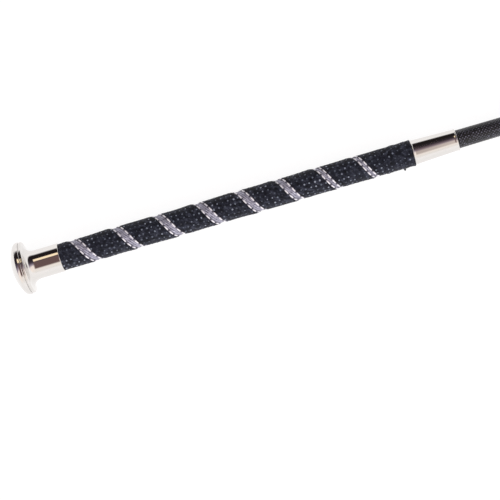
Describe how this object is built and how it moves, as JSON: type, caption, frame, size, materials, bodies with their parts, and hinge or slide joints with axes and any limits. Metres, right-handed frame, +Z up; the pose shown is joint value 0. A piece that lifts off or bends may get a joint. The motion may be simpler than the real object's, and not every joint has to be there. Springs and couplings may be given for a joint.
{
  "type": "riding crop",
  "caption": "Long slim riding whip: mushroom cap, spiral-taped grip, chrome ferrule, tapering braided shaft, sleeved keeper and a plaited lash with an opened, frayed end.",
  "frame": {"origin": "on the whip's axis, in the middle of the mushroom cap's collar, where a rack's clip holds it", "axes": "+X along the whip from the cap towards the lash, +Z up, the lash bends towards -Y"},
  "size_m": [1.1054, 0.0466, 0.0334],
  "materials": {
    "chrome": "polished plating",
    "fibreglass": "pultruded glass fibre rod",
    "shaft_braid": "tight nylon braid, satin",
    "grip_rubber": "moulded, matt",
    "foam": "thin foam underlay",
    "grip_tape": "matt grip tape with small pale dots",
    "silver_ribbon": "woven metallised ribbon",
    "silver_cord": "bright twisted silver cord",
    "thread": "waxed binding thread",
    "black_plastic": "moulded bush",
    "keeper_plastic": "smooth shrunk sleeve, satin",
    "lash_plait": "plaited cord with pale flecks",
    "copper_yarn": "loose core yarn"
  },
  "bodies": {
    "whip": {"cap_crown": "chrome", "cap_neck": "chrome", "rod_core": "fibreglass", "shaft_cover": "shaft_braid", "grip_core": "grip_rubber", "grip_padding": "foam", "grip_tape": "grip_tape", "grip_ribbon": "silver_ribbon", "ribbon_edge_cap_side": "silver_cord", "ribbon_edge_lash_side": "silver_cord", "grip_end_binding": "thread", "grip_end_wrap": "grip_tape", "chrome_ferrule": "chrome", "ferrule_bush": "black_plastic", "keeper_sleeve": "keeper_plastic", "keeper_binding": "thread", "lash_tail": "lash_plait"},
    "lash": {"lash_braid": "lash_plait", "lash_core": "copper_yarn", "lash_flare": "lash_plait", "lash_fray": "copper_yarn"}
  },
  "joints": [
    {"name": "lash_swing", "type": "hinge", "parent": "whip", "child": "lash", "pos_m": [0.96335, 0, 0], "axis": [0, 0, 1], "range_deg": [-75, 75], "stiffness_Nm_per_rad": 0.005}
  ]
}
